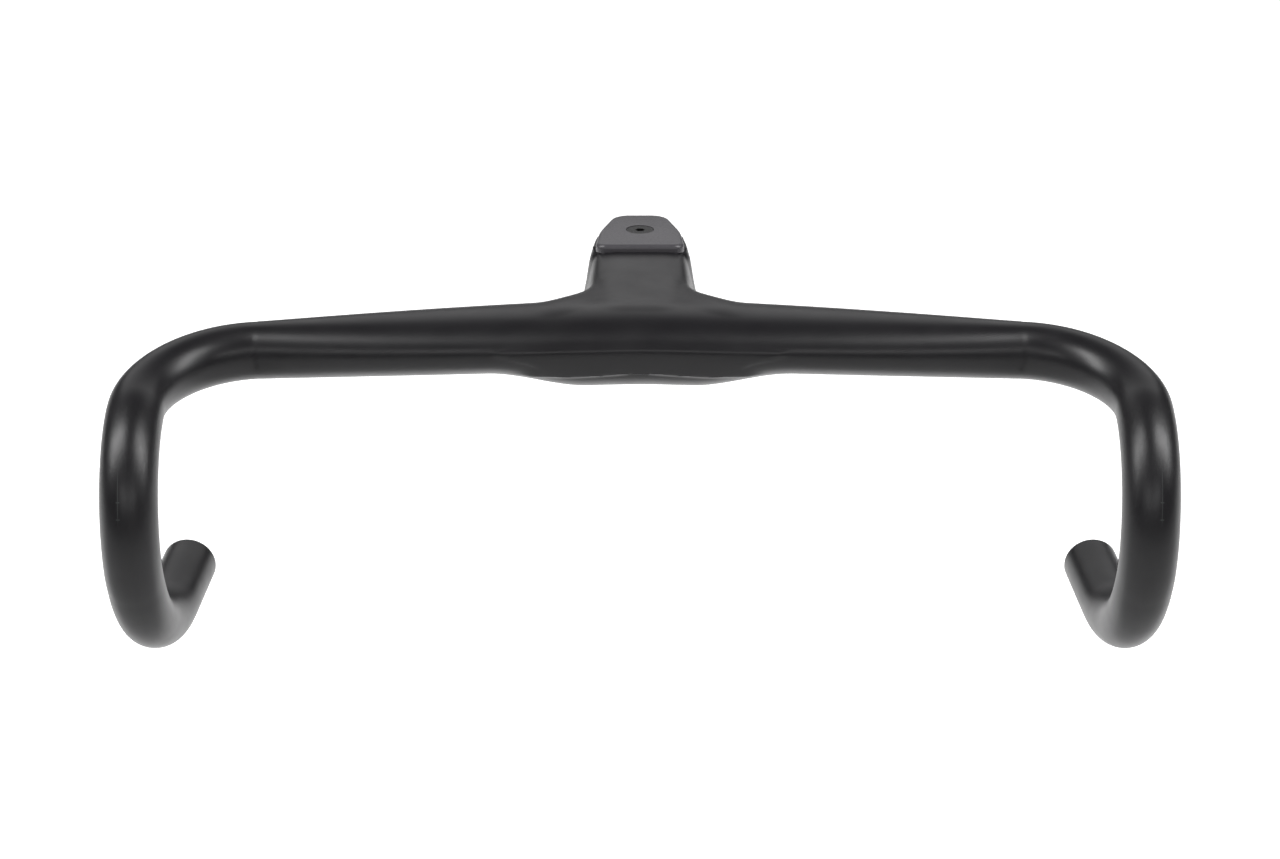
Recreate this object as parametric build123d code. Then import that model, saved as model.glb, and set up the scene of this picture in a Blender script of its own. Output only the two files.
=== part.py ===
from build123d import *

# One-piece road handlebar and stem with hidden hoses, in millimetres.
#
# The steerer's axis is Z, up, and the origin is on it, in the base face that rests on the headset.
# The bar lies forward of the steerer, on -Y.  X runs across the bike: the rider's left is +X.

import os
from math import cos, copysign, pi, radians, sin, sqrt

# ------------------------------------------------------------ driving dimensions: the bar's line
BAR_WIDTH = 420.0  # between the hoods, centre to centre
STEM_LENGTH = 100.0  # steerer axis to bar axis
BAR_HEIGHT = 22.0  # bar axis above the base face
CORNER_REACH = 2.8  # each corner of the bar's line: how far ahead of the bar axis it is
CORNER_FALL = 7.0  # and how far below
CORNER_FLARE = 2.0  # the outer bend's corner stands this much outside the hood
HOOD_REACH = 94.8
HOOD_FALL = 23.0
THROAT_REACH = 84.8
THROAT_FALL = 74.2
HEEL_REACH = 62.7
HEEL_FALL = 119.2
HEEL_TOE_IN = 1.0
END_SETBACK = 16.3  # the drop's end, behind the bar axis
END_FALL = 114.4
END_TOE_IN = 6.4
OUTER_BEND = 47.2  # bend radii of the line
HOOD_BEND = 44.1
THROAT_BEND = 40.0
HEEL_BEND = 61.8

# ------------------------------------------------------------ driving dimensions: tops
WING_HALF_CHORD = 26.0
WING_HALF_HEIGHT = 13.5
WING_SETBACK = 4.4  # the wide part's centre lies this far behind the bar's line
WING_TAPER_POWER = 1.9  # the higher, the longer the tops keep their full chord
WING_STATIONS = 24
SECTION_POINTS = 16
WING_WALL = 2.2
BELLY_DEPTH = 20.0  # under the bar's line
BELLY_FLAT_SPAN = 28.0
BELLY_SPAN = 54.0
BELLY_SQUARENESS = 2.8
FLARE_RADIUS = 20.0  # gussets from the stem's sides into the back of the tops
FLARE_AHEAD = 6.0  # their start, behind the tops' rear edge

# ------------------------------------------------------------ driving dimensions: hooks
TUBE_RADIUS = 12.0
TUBE_WALL = 2.0
SPIGOT_LENGTH = 20.0
SPIGOT_WALL = 2.0
JOINT_STRAIGHT = 6.0  # from the joint to where the outer bend starts
BULKHEAD = 3.0  # solid ring that joins the spigot to the tube
JOINT_SEAM = 0.05
GLUE_GAP = 0.1
END_ROUND = 0.5
PORT_RADIUS = 4.5
PORT_INWARD_ANGLE = 35.0
PATH_STEPS = 200  # points tried along the line for the port's place
HOSE_RADIUS = 2.75
GROMMET_FLANGE = 1.3
GROMMET_PROUD = 0.8

# ------------------------------------------------------------ driving dimensions: stem and clamp
STACK = 36.0
BEAM_HALF_REAR = 21.5
BEAM_HALF_FRONT = 27.0
BEAM_FLOOR = 1.0
BEAM_WALL = 3.0
HOLLOW_OVERLAP = 14.0  # how far the stem's hollow runs into the tops
BEAM_SQUARENESS = 3.2
BEAM_DRAFT = 0.12  # how much the sides lean in towards the top
BEAM_MIDDLE = 8.0  # the beam's second section, ahead of the cap
BEAM_START = 4.3  # its first section, ahead of the steerer's axis
STEERER_RADIUS = 14.3
BAND_LENGTH = 16.0  # lower clamping band
RELIEF_LENGTH = 4.0
RELIEF_DEPTH = 0.5
SLOT_WIDTH = 2.0
SIDE_WALL = 4.1  # steerer to the cap's edge, at the axis
FRONT_WALL = 10.0  # steerer to the cap's front edge
BLOCK_STEP = 1.6  # the clamp block's top stands this much outside the cap
BLOCK_BULGE = 1.6
SCREW_WALL = 3.7  # steerer to the clamp screws
CLAMP_SCREW_RADIUS = 2.5
CLAMP_SCREW_HEIGHTS = {"lower": 8.0, "upper": 27.0}
CLAMP_HEAD_RADIUS = 4.25
CLAMP_HEAD_HEIGHT = 5.0
CLAMP_HEX = 4.0
CLAMP_SEAT = 6.5
HEAD_CLEARANCE = 0.35
SHANK_GAP = 0.25
POCKET_REACH = 20.0  # the pockets' cutting bodies, past the cap's widest part
SEAT_GAP = 0.01  # washer and nut to their seats
REAR_WALL = 0.9
WASHER_THICKNESS = 1.0
NUT_LENGTH = 6.0
NUT_FLAT = 3.4
RUNNING_GAP = 0.05
CLEARANCE = 0.3

# ------------------------------------------------------------ driving dimensions: cap
CAP_THICKNESS = 4.0
CAP_RECESS = 1.0
CAP_EDGE_ROUND = 0.9
CAP_BOSS_HEIGHT = 2.0
PRELOAD_RADIUS = 3.0
PRELOAD_HEAD_RADIUS = 6.2
PRELOAD_RIM = 0.6
PRELOAD_SINK = 0.2  # the head's top below the cap's
PRELOAD_HEX = 4.0
PRELOAD_TIP_GAP = 3.0  # tip above the lower band
HEX_DEPTH = 2.5
HEAD_EDGE_ROUND = 0.4
TIP_SHORT = 0.5  # screw tips stop this far inside their threads

# ------------------------------------------------------------ driving dimensions: hose ways, mounts
PORT_HALF_WIDTH = 10.0
PORT_DEPTH = 11.0
PORT_WALL = 5.7  # steerer to the hose port
WINDOW_HALF_WIDTH = 9.0
COVER_HALF_WIDTH = 13.0
COVER_CORNER = 4.0
COVER_TOP = 3.0
COVER_SETBACK = 9.5  # the cover's rear edge, ahead of the cap's front edge
COVER_OVERLAP = 4.0  # how far it runs under the tops
COVER_SCREW_EDGE = 5.5  # its ends to its screws
COVER_SCREW_RADIUS = 1.5
COVER_HEAD_RADIUS = 2.75
COVER_HEAD_HEIGHT = 1.0
COVER_HEX = 2.0
COVER_BOSS_RADIUS = 4.4
COVER_INSERT_RADIUS = 2.4
COVER_INSERT_LENGTH = 4.5
MOUNT_SPACING = 26.0
MOUNT_INSERT_RADIUS = 3.0
MOUNT_INSERT_LENGTH = 7.0
MOUNT_THREAD_RADIUS = 1.7
MOUNT_BOSS_RADIUS = 5.5
BOSS_ROOF = 1.5  # material over an insert
PAD_RECESS = 0.4
PAD_MARGIN = 7.0  # flat beyond the mount's holes, across
PAD_HALF_LENGTH = 9.0
OVERCUT = 1.0  # how far cutting bodies reach past what they cut

# ------------------------------------------------------------ sizes worked out from those above
HALF_WIDTH = BAR_WIDTH / 2
CORNER_X = HALF_WIDTH + CORNER_FLARE
JOINT_X = CORNER_X - OUTER_BEND - JOINT_STRAIGHT
SOCKET_END_X = JOINT_X - SPIGOT_LENGTH - 1.0
SPIGOT_RADIUS = TUBE_RADIUS - SPIGOT_WALL - GLUE_GAP
TUBE_BORE = TUBE_RADIUS - TUBE_WALL
SCREW_Y = STEERER_RADIUS + SCREW_WALL + CLAMP_SCREW_RADIUS
POCKET_RADIUS = CLAMP_HEAD_RADIUS + HEAD_CLEARANCE
BLOCK_REAR = SCREW_Y + POCKET_RADIUS + REAR_WALL
CAP_REAR = BLOCK_REAR - BLOCK_STEP - 0.6
CAP_FRONT = STEERER_RADIUS + FRONT_WALL
CAP_HALF_AXIS = STEERER_RADIUS + SIDE_WALL
CAP_HALF_FRONT = CAP_HALF_AXIS + 2.1
CAP_HALF_REAR = CLAMP_SEAT + CLAMP_HEAD_HEIGHT + 0.5
CAP_TOP = STACK - CAP_RECESS + CAP_THICKNESS
RECESS_FLOOR = STACK - CAP_RECESS
PORT_Y = -(STEERER_RADIUS + PORT_WALL + PORT_DEPTH / 2)
WING_REAR_Y = -STEM_LENGTH + WING_SETBACK + WING_HALF_CHORD
COVER_REAR_Y = -CAP_FRONT - COVER_SETBACK
COVER_FRONT_Y = WING_REAR_Y - COVER_OVERLAP
COVER_SCREW_YS = {"rear": COVER_REAR_Y - COVER_SCREW_EDGE, "front": COVER_FRONT_Y + COVER_SCREW_EDGE}
PAD_HEIGHT = BAR_HEIGHT - BELLY_DEPTH + PAD_RECESS


def ease(share):
    """Smooth step from 0 to 1."""
    held = min(1.0, max(0.0, share))
    return held * held * (3 - 2 * held)


def bar_line():
    """Corners of the left half of the bar's line, from the middle to the drop's end."""
    return [
        Vector(0, -STEM_LENGTH, BAR_HEIGHT),
        Vector(CORNER_X, -STEM_LENGTH - CORNER_REACH, BAR_HEIGHT - CORNER_FALL),
        Vector(HALF_WIDTH, -STEM_LENGTH - HOOD_REACH, BAR_HEIGHT - HOOD_FALL),
        Vector(HALF_WIDTH, -STEM_LENGTH - THROAT_REACH, BAR_HEIGHT - THROAT_FALL),
        Vector(HALF_WIDTH - HEEL_TOE_IN, -STEM_LENGTH - HEEL_REACH, BAR_HEIGHT - HEEL_FALL),
        Vector(HALF_WIDTH - END_TOE_IN, -STEM_LENGTH + END_SETBACK, BAR_HEIGHT - END_FALL),
    ]


def tops_point(x):
    """Point of the tops' straight line at x."""
    middle, corner = bar_line()[:2]
    return middle + (corner - middle) * (abs(x) / corner.X)


def tops_direction():
    """Unit direction of the left top's line, outward."""
    middle, corner = bar_line()[:2]
    return (corner - middle).normalized()


def rounded_section(half_across, lower, upper, low_power):
    """Closed curve of (across, height) points: an ellipse above, squarer below."""
    points = []
    for step in range(SECTION_POINTS):
        angle = 2 * pi * step / SECTION_POINTS
        across, height = cos(angle), sin(angle)
        power = 2 / (2 if height >= 0 else low_power)
        depth = upper if height >= 0 else lower
        points.append(
            (
                half_across * copysign(abs(across) ** power, across),
                depth * copysign(abs(height) ** power, height),
            )
        )
    return points


def wing_section(x, inset=0.0):
    """Face across the tops at x, drawn in by the inset."""
    share = 1 - (abs(x) / JOINT_X) ** WING_TAPER_POWER
    chord = TUBE_RADIUS + (WING_HALF_CHORD - TUBE_RADIUS) * share
    upper = TUBE_RADIUS + (WING_HALF_HEIGHT - TUBE_RADIUS) * share
    belly = ease((BELLY_SPAN - abs(x)) / (BELLY_SPAN - BELLY_FLAT_SPAN))
    lower = upper + (BELLY_DEPTH - upper) * belly
    squareness = 2 + (BELLY_SQUARENESS - 2) * belly
    centre = tops_point(x) + Vector(0, WING_SETBACK * share, 0)
    outline = rounded_section(chord - inset, lower - inset, upper - inset, squareness)
    points = [(x, centre.Y + across, centre.Z + height) for across, height in outline]
    return Face(Wire([Spline(*points, periodic=True)]))


def wing(half_span, inset=0.0):
    """The tops' flattened body between two ends."""
    span = 2 * half_span
    stations = [span * step / WING_STATIONS - half_span for step in range(WING_STATIONS + 1)]
    return loft([wing_section(x, inset) for x in stations])


def beam_section(y, half_width, floor, top):
    """Face across the stem at y: a box with rounded shoulders and drafted sides."""
    middle = (floor + top) / 2
    outline = rounded_section(1.0, 1.0, 1.0, 2.0)
    power = 2 / BEAM_SQUARENESS
    points = []
    for across, height in outline:
        square_across = copysign(abs(across) ** power, across)
        square_height = copysign(abs(height) ** power, height)
        width = half_width * square_across * (1 - BEAM_DRAFT * square_height)
        points.append((width, y, middle + (top - floor) / 2 * square_height))
    return Face(Wire([Spline(*points, periodic=True)]))


def beam():
    """The stem's outer body, from inside the clamp block into the tops."""
    mid_half = (BEAM_HALF_REAR + BEAM_HALF_FRONT) / 2
    bar_top = BAR_HEIGHT + WING_HALF_HEIGHT - 0.3
    return loft(
        [
            beam_section(-BEAM_START, BEAM_HALF_REAR, BEAM_FLOOR, STACK),
            beam_section(-CAP_FRONT - BEAM_MIDDLE, BEAM_HALF_REAR + 1.0, BEAM_FLOOR, STACK),
            beam_section(WING_REAR_Y, mid_half + 0.3, BEAM_FLOOR, STACK - 0.2),
            beam_section(-STEM_LENGTH, BEAM_HALF_FRONT, BEAM_FLOOR + 2.0, bar_top),
        ]
    )


def beam_hollow():
    """The stem's inner space, from in front of the steerer into the hollow of the tops."""
    rear = PORT_Y + PORT_DEPTH / 2
    front = WING_REAR_Y - HOLLOW_OVERLAP
    half = BEAM_HALF_REAR - BEAM_WALL
    floor = BEAM_FLOOR + BEAM_WALL
    top = RECESS_FLOOR - BEAM_WALL
    return loft(
        [
            beam_section(rear, half - 3.0, floor, top),
            beam_section(-CAP_FRONT - BEAM_MIDDLE, half, floor, top),
            beam_section(front, half, floor + 2.0, top - 1.0),
        ]
    )


def clamp_outline(step, height):
    """Face in plan round the steerer: narrow behind, wide in front, grown by the step."""
    front, rear = -CAP_FRONT - step, CAP_REAR + step
    points = [
        (CAP_HALF_FRONT + step, front),
        (CAP_HALF_AXIS + step + 0.6, -2.0),
        (CAP_HALF_REAR + step, rear),
        (-CAP_HALF_REAR - step, rear),
        (-CAP_HALF_AXIS - step - 0.6, -2.0),
        (-CAP_HALF_FRONT - step, front),
    ]
    edge = FilletPolyline(*points, radius=[3, 60, 6, 6, 60, 3], close=True)
    return Pos(0, 0, height) * make_face(edge)


def clamp_block():
    """The block round the steerer, fuller at mid height than at its base and top."""
    sections = [
        clamp_outline(BLOCK_STEP + 0.5, 0.0),
        clamp_outline(BLOCK_STEP + BLOCK_BULGE, STACK * 0.45),
        clamp_outline(BLOCK_STEP, STACK),
    ]
    return loft(sections)


def bar_path(start_x):
    """The hook's centre line, from a point of the tops' line to the drop's end."""
    corners = [tops_point(start_x)] + bar_line()[1:]
    radii = [OUTER_BEND, HOOD_BEND, THROAT_BEND, HEEL_BEND]
    return FilletPolyline(*corners, radius=radii)


def bar_tube(radius, start_x):
    """Round bar swept along the hook's centre line."""
    path = bar_path(start_x)
    profile = Plane(origin=path @ 0, z_dir=path % 0) * Circle(radius)
    return sweep(profile, path=path)


def rod(radius, start, end):
    """Round bar between two points."""
    start, end = Vector(*start), Vector(*end)
    axis = Plane(origin=start, z_dir=end - start)
    return axis * Cylinder(radius, (end - start).length, align=(Align.CENTER, Align.CENTER, Align.MIN))


def block(x_range, y_range, z_range):
    """Box between pairs of coordinates."""
    sizes = [high - low for low, high in (x_range, y_range, z_range)]
    centre = [(high + low) / 2 for low, high in (x_range, y_range, z_range)]
    return Pos(*centre) * Box(*sizes)


def hex_prism(across_flats, start, end):
    """Hexagonal bar between two points."""
    start, end = Vector(*start), Vector(*end)
    profile = RegularPolygon(across_flats / 2, 6, major_radius=False)
    return Plane(origin=start, z_dir=end - start) * extrude(profile, (end - start).length)


def mirrored(shape):
    """The same piece on the rider's right."""
    return mirror(shape, about=Plane.YZ)


# ------------------------------------------------------------ pieces: stem and tops
def flare():
    """Gussets that widen the stem into the back of the tops."""
    sections = []
    for share in (0.0, 0.35, 0.65, 0.9):
        ahead = share * FLARE_RADIUS
        widening = FLARE_RADIUS - sqrt(FLARE_RADIUS**2 - ahead**2)
        half = BEAM_HALF_FRONT - 1.5 + widening
        floor = BEAM_FLOOR + 4.0 + 6.0 * share
        top = BAR_HEIGHT + WING_HALF_HEIGHT - 2.0 - 2.5 * share
        sections.append(beam_section(WING_REAR_Y + FLARE_AHEAD - ahead, half, floor, top))
    return loft(sections)


def steerer_hole():
    """What the steerer, the relief between the bands and the slot take out of the block."""
    hole = rod(STEERER_RADIUS, (0, 0, -1), (0, 0, STACK + 1))
    relief_top = BAND_LENGTH + RELIEF_LENGTH
    hole += rod(STEERER_RADIUS + RELIEF_DEPTH, (0, 0, BAND_LENGTH), (0, 0, relief_top))
    half_slot = SLOT_WIDTH / 2
    return hole + block((-half_slot, half_slot), (0, BLOCK_REAR + 9), (-1, STACK + 1))


def cross_rod(radius, start_x, end_x, height):
    """Round bar along a clamp screw's axis."""
    return rod(radius, (start_x, SCREW_Y, height), (end_x, SCREW_Y, height))


def above_flat(start_x, end_x, height, gap):
    """What a clamp nut's flat takes off its top, the gap higher up."""
    reach = 2 * CLAMP_HEAD_RADIUS
    heights = (height + NUT_FLAT + gap, height + reach)
    return block((start_x, end_x), (SCREW_Y - reach, SCREW_Y + reach), heights)


def clamp_screw_hole(height):
    """Shank hole, head pocket and nut pocket of one clamp screw."""
    outside = CAP_HALF_FRONT + POCKET_REACH
    shank_end = CLAMP_SEAT + OVERCUT
    hole = cross_rod(CLAMP_SCREW_RADIUS + SHANK_GAP, -shank_end, shank_end, height)
    hole += cross_rod(POCKET_RADIUS, CLAMP_SEAT, outside, height)
    nut = cross_rod(CLAMP_HEAD_RADIUS + RUNNING_GAP, -outside, -CLAMP_SEAT, height)
    return hole + nut - above_flat(-outside, -CLAMP_SEAT, height, RUNNING_GAP)


def hose_ways():
    """The hose port in front of the steerer, and the window under the stem."""
    port_half = PORT_DEPTH / 2
    port = block(
        (-PORT_HALF_WIDTH, PORT_HALF_WIDTH), (PORT_Y - port_half, PORT_Y + port_half), (-1, STACK / 2)
    )
    window_rear = COVER_SCREW_YS["rear"] - COVER_BOSS_RADIUS - 1.0
    window_front = COVER_SCREW_YS["front"] + COVER_BOSS_RADIUS + 1.0
    return port + block(
        (-WINDOW_HALF_WIDTH, WINDOW_HALF_WIDTH), (window_front, window_rear), (-1, STACK / 2)
    )


def cover_prism(gap, low, high):
    """Rounded plate in plan where the hose cover lies, grown by the gap."""
    length = COVER_REAR_Y - COVER_FRONT_Y + 2 * gap
    profile = RectangleRounded(2 * (COVER_HALF_WIDTH + gap), length, COVER_CORNER + gap)
    return Pos(0, (COVER_REAR_Y + COVER_FRONT_Y) / 2, low) * extrude(profile, high - low)


def cover_bosses(outer):
    """Solid feet in the stem's floor for the cover's inserts."""
    top = COVER_TOP + COVER_INSERT_LENGTH + BOSS_ROOF
    bosses = [rod(COVER_BOSS_RADIUS, (0, y, 0), (0, y, top)) for y in COVER_SCREW_YS.values()]
    return [boss & outer for boss in bosses]


def mount_bosses(outer):
    """Solid feet in the belly for the computer mount's inserts."""
    top = PAD_HEIGHT + MOUNT_INSERT_LENGTH + BOSS_ROOF
    y = -STEM_LENGTH + WING_SETBACK
    half = MOUNT_SPACING / 2
    bosses = [rod(MOUNT_BOSS_RADIUS, (x, y, 0), (x, y, top)) for x in (-half, half)]
    return [boss & outer for boss in bosses]


def insert_holes():
    """Holes for the four inserts, a loose fit apart from the glue."""
    holes = []
    for y in COVER_SCREW_YS.values():
        top = COVER_TOP + COVER_INSERT_LENGTH + RUNNING_GAP
        holes.append(rod(COVER_INSERT_RADIUS + RUNNING_GAP, (0, y, 0), (0, y, top)))
    y = -STEM_LENGTH + WING_SETBACK
    for x in (-MOUNT_SPACING / 2, MOUNT_SPACING / 2):
        top = PAD_HEIGHT + MOUNT_INSERT_LENGTH + RUNNING_GAP
        holes.append(rod(MOUNT_INSERT_RADIUS + RUNNING_GAP, (x, y, -1), (x, y, top)))
    return holes


def sockets():
    """Round sockets in the ends of the tops for the hooks' spigots."""
    direction = tops_direction()
    start = tops_point(SOCKET_END_X)
    end = tops_point(JOINT_X) + direction * 2
    socket = rod(SPIGOT_RADIUS + GLUE_GAP, start, end)
    return [socket, mirrored(socket)]


def make_stem_and_tops():
    """The main hollow moulding."""
    outer = wing(JOINT_X) + beam() + flare() + clamp_block()
    body = outer - wing(SOCKET_END_X + 1.0, WING_WALL) - beam_hollow()
    body += cover_bosses(outer) + mount_bosses(outer)
    body -= [Pos(0, 0, RECESS_FLOOR) * extrude(clamp_outline(CLEARANCE, 0.0), STACK)]
    body -= [steerer_hole(), hose_ways(), cover_prism(CLEARANCE, -1.0, COVER_TOP + RUNNING_GAP)]
    body -= [clamp_screw_hole(height) for height in CLAMP_SCREW_HEIGHTS.values()]
    pad_half = MOUNT_SPACING / 2 + PAD_MARGIN
    y = -STEM_LENGTH + WING_SETBACK
    below = -BELLY_DEPTH
    pad_ys = (y - PAD_HALF_LENGTH, y + PAD_HALF_LENGTH)
    body -= [block((-pad_half, pad_half), pad_ys, (below, PAD_HEIGHT))]
    body -= insert_holes() + sockets()
    return body.solids().sort_by(SortBy.VOLUME)[-1]


# ------------------------------------------------------------ pieces: hooks
def port_frame():
    """Centre and outward direction of a left hook's hose port, on the back of the throat."""
    path = bar_path(JOINT_X - 2)
    corners = bar_line()
    along_path = [path @ (step / PATH_STEPS) for step in range(PATH_STEPS + 1)]
    nearest = min(along_path, key=lambda point: (point - corners[3]).length)
    along = (corners[4] - corners[2]).normalized()
    rearward = along.cross(Vector(1, 0, 0)).normalized()
    rearward = rearward if rearward.Y > 0 else -rearward
    angle = radians(PORT_INWARD_ANGLE)
    return nearest, rearward * cos(angle) - Vector(1, 0, 0) * sin(angle)


def port_rod(radius):
    """Round bar through the port's wall, from the tube's centre outward."""
    centre, outward = port_frame()
    return rod(radius, centre, centre + outward * (TUBE_RADIUS + 6))


def make_left_hook():
    """Hollow hook with the spigot that is bonded into the tops."""
    start = JOINT_X - 2
    tube = bar_tube(TUBE_RADIUS, start)
    tube -= [block((0, JOINT_X + JOINT_SEAM), (-STEM_LENGTH - 50, -STEM_LENGTH + 40), (-50, 90))]
    rim = [edge for edge in tube.edges() if edge.bounding_box().max.Y > -STEM_LENGTH + END_SETBACK - 3]
    tube = tube.fillet(END_ROUND, rim)
    tube -= bar_tube(TUBE_BORE, JOINT_X + BULKHEAD)
    spigot_start = tops_point(JOINT_X - SPIGOT_LENGTH)
    tube += [rod(SPIGOT_RADIUS, spigot_start, tops_point(JOINT_X + 1))]
    bore_end = tops_point(JOINT_X + BULKHEAD + 1)
    bore_start = tops_point(JOINT_X - SPIGOT_LENGTH - 1)
    tube -= [rod(SPIGOT_RADIUS - SPIGOT_WALL, bore_start, bore_end), port_rod(PORT_RADIUS)]
    return tube.solids().sort_by(SortBy.VOLUME)[-1]


def make_left_grommet():
    """Rubber sleeve through the hose port, with a flange that follows the tube."""
    start = JOINT_X - 2
    outer = bar_tube(TUBE_RADIUS + GROMMET_PROUD, start)
    skin = outer - bar_tube(TUBE_RADIUS + 0.02, start)
    sleeve = port_rod(PORT_RADIUS - 0.02) & (outer - bar_tube(TUBE_BORE - 0.8, start))
    grommet = sleeve + (port_rod(PORT_RADIUS + GROMMET_FLANGE) & skin) - port_rod(HOSE_RADIUS)
    return grommet.solids().sort_by(SortBy.VOLUME)[-1]


# ------------------------------------------------------------ pieces: cap and its screw
def preload_cone(gap):
    """The countersunk head's body, grown by the gap, from its top down into the shank."""
    top = CAP_TOP - PRELOAD_SINK
    rim = PRELOAD_HEAD_RADIUS + gap
    depth = PRELOAD_HEAD_RADIUS - PRELOAD_RADIUS
    shape = rod(rim, (0, 0, top - PRELOAD_RIM - gap), (0, 0, top))
    cone = Cone(PRELOAD_RADIUS + gap, rim, depth, align=(Align.CENTER, Align.CENTER, Align.MAX))
    return shape + Pos(0, 0, top - PRELOAD_RIM - gap) * cone


def make_top_cap():
    """Trapezoidal cap with a boss that centres it in the steerer's hole."""
    floor = RECESS_FLOOR + RUNNING_GAP
    plate = extrude(clamp_outline(0.0, 0.0), CAP_TOP - floor)
    plate = Pos(0, 0, floor) * plate
    plate = plate.fillet(CAP_EDGE_ROUND, plate.faces().sort_by(Axis.Z)[-1].edges())
    boss_floor = RECESS_FLOOR - CAP_BOSS_HEIGHT
    cap = plate + rod(STEERER_RADIUS - CLEARANCE, (0, 0, boss_floor), (0, 0, floor + 1))
    cap -= rod(PRELOAD_RADIUS + RUNNING_GAP, (0, 0, boss_floor - 1), (0, 0, CAP_TOP))
    seat = CAP_TOP - PRELOAD_SINK - PRELOAD_RIM
    cap -= rod(PRELOAD_HEAD_RADIUS + CLEARANCE, (0, 0, seat), (0, 0, CAP_TOP + OVERCUT))
    return cap - preload_cone(RUNNING_GAP)


def make_preload_screw():
    """Countersunk screw with a hexagonal socket."""
    top = CAP_TOP - PRELOAD_SINK
    tip = BAND_LENGTH + PRELOAD_TIP_GAP
    screw = preload_cone(0.0) + rod(PRELOAD_RADIUS, (0, 0, tip), (0, 0, top - PRELOAD_RIM))
    return screw - hex_prism(PRELOAD_HEX, (0, 0, top - HEX_DEPTH), (0, 0, top + 1))


# ------------------------------------------------------------ pieces: steerer clamp hardware
def make_clamp_screw(height):
    """Socket-head screw across the slot, its head on the rider's left."""
    under_head = CLAMP_SEAT + WASHER_THICKNESS
    head_top = under_head + CLAMP_HEAD_HEIGHT
    tip = -CLAMP_SEAT - NUT_LENGTH + TIP_SHORT
    head = cross_rod(CLAMP_HEAD_RADIUS, under_head, head_top, height)
    head = head.fillet(HEAD_EDGE_ROUND, head.edges().sort_by(Axis.X)[-1:])
    screw = head + cross_rod(CLAMP_SCREW_RADIUS, tip, under_head + OVERCUT, height)
    socket_floor, socket_mouth = head_top - HEX_DEPTH, head_top + OVERCUT
    return screw - hex_prism(CLAMP_HEX, (socket_floor, SCREW_Y, height), (socket_mouth, SCREW_Y, height))


def make_clamp_washer(height):
    """Washer between a clamp screw's head and its seat."""
    seat, top = CLAMP_SEAT + SEAT_GAP, CLAMP_SEAT + WASHER_THICKNESS - SEAT_GAP
    washer = cross_rod(CLAMP_HEAD_RADIUS, seat, top, height)
    return washer - cross_rod(CLAMP_SCREW_RADIUS + RUNNING_GAP, seat - OVERCUT, top + OVERCUT, height)


def make_clamp_nut(height):
    """Round nut with a flat that stops it turning in its pocket."""
    seat, end = -CLAMP_SEAT - SEAT_GAP, -CLAMP_SEAT - NUT_LENGTH
    nut = cross_rod(CLAMP_HEAD_RADIUS, end, seat, height)
    nut -= above_flat(end - OVERCUT, seat + OVERCUT, height, 0.0)
    return nut - cross_rod(CLAMP_SCREW_RADIUS + RUNNING_GAP, end - OVERCUT, seat + OVERCUT, height)


# ------------------------------------------------------------ pieces: hose cover and inserts
def make_hose_cover():
    """Plate under the stem, flush with its belly, over the hose window."""
    cover = cover_prism(0.0, -1.0, COVER_TOP) & beam()
    for y in COVER_SCREW_YS.values():
        seat = BEAM_FLOOR + COVER_HEAD_HEIGHT
        cover -= rod(COVER_SCREW_RADIUS + RUNNING_GAP, (0, y, -1), (0, y, STACK))
        cover -= rod(COVER_HEAD_RADIUS + CLEARANCE, (0, y, -1), (0, y, seat))
    return cover


def make_cover_screw(y):
    """Low-head screw that holds one end of the hose cover."""
    seat = BEAM_FLOOR + COVER_HEAD_HEIGHT - 0.02
    under = BEAM_FLOOR + 0.1
    tip = COVER_TOP + COVER_INSERT_LENGTH - 0.5
    screw = rod(COVER_HEAD_RADIUS, (0, y, under), (0, y, seat))
    screw += rod(COVER_SCREW_RADIUS, (0, y, under + 0.2), (0, y, tip))
    return screw - hex_prism(COVER_HEX, (0, y, under - 1), (0, y, seat + 0.6))


def make_cover_insert(y):
    """Threaded insert over the hose cover."""
    low, high = COVER_TOP + 2 * RUNNING_GAP, COVER_TOP + COVER_INSERT_LENGTH
    insert = rod(COVER_INSERT_RADIUS, (0, y, low), (0, y, high))
    return insert - rod(COVER_SCREW_RADIUS + RUNNING_GAP, (0, y, low - 1), (0, y, high + 1))


def make_mount_insert(x):
    """Blind threaded insert in the belly, for a computer mount's screw."""
    y = -STEM_LENGTH + WING_SETBACK
    insert = rod(MOUNT_INSERT_RADIUS, (x, y, PAD_HEIGHT), (x, y, PAD_HEIGHT + MOUNT_INSERT_LENGTH))
    thread_end = PAD_HEIGHT + MOUNT_INSERT_LENGTH - 1.0
    return insert - rod(MOUNT_THREAD_RADIUS, (x, y, PAD_HEIGHT - 1), (x, y, thread_end))


def all_pieces():
    """Every piece by its name."""
    left_hook, left_grommet = make_left_hook(), make_left_grommet()
    pieces = {
        "stem_and_tops": make_stem_and_tops(),
        "left_hook": left_hook,
        "right_hook": mirrored(left_hook),
        "left_hose_grommet": left_grommet,
        "right_hose_grommet": mirrored(left_grommet),
        "top_cap": make_top_cap(),
        "preload_screw": make_preload_screw(),
        "hose_cover": make_hose_cover(),
        "mount_insert_left": make_mount_insert(MOUNT_SPACING / 2),
        "mount_insert_right": make_mount_insert(-MOUNT_SPACING / 2),
    }
    for place, height in CLAMP_SCREW_HEIGHTS.items():
        pieces[f"clamp_screw_{place}"] = make_clamp_screw(height)
        pieces[f"clamp_washer_{place}"] = make_clamp_washer(height)
        pieces[f"clamp_nut_{place}"] = make_clamp_nut(height)
    for place, y in COVER_SCREW_YS.items():
        pieces[f"hose_cover_screw_{place}"] = make_cover_screw(y)
        pieces[f"hose_cover_insert_{place}"] = make_cover_insert(y)
    return pieces


os.makedirs("parts", exist_ok=True)
for name, piece in all_pieces().items():
    export_step(piece, f"parts/{name}.step")
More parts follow.
